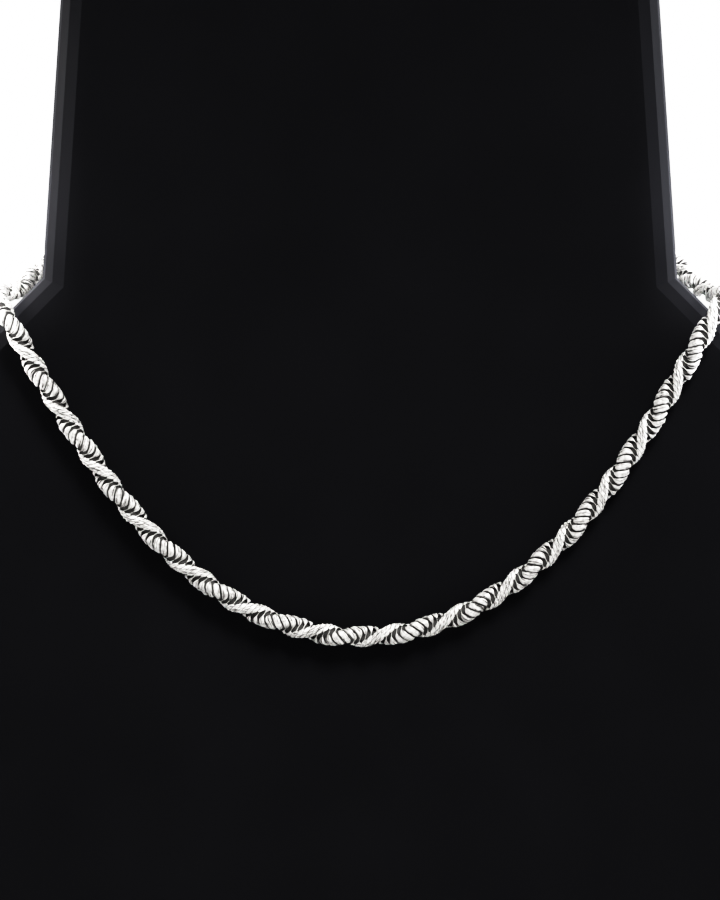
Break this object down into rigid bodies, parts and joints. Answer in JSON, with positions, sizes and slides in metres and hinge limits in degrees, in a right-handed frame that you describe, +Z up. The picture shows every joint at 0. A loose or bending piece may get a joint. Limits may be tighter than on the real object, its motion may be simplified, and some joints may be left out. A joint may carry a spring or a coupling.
{
  "type": "rope chain necklace on neck bust",
  "caption": "Twisted silver rope chain necklace closed at the nape by a barrel clasp, lying on a plain black neck bust that stands by itself.",
  "frame": {"origin": "on the surface that the bust stands on, under the middle of the whole object", "axes": "+Z up, -Y out of the flat front of the bust, +X to the right as seen from the front"},
  "size_m": [0.2, 0.0934, 0.22],
  "materials": {
    "bust_black": "satin black, finely textured",
    "chain_silver": "polished silver with dark oxidised recesses",
    "clasp_silver": "polished silver with fine turning marks"
  },
  "bodies": {
    "root": {"neck_bust": "bust_black", "rope_chain": "chain_silver", "clasp": "clasp_silver"}
  },
  "joints": []
}
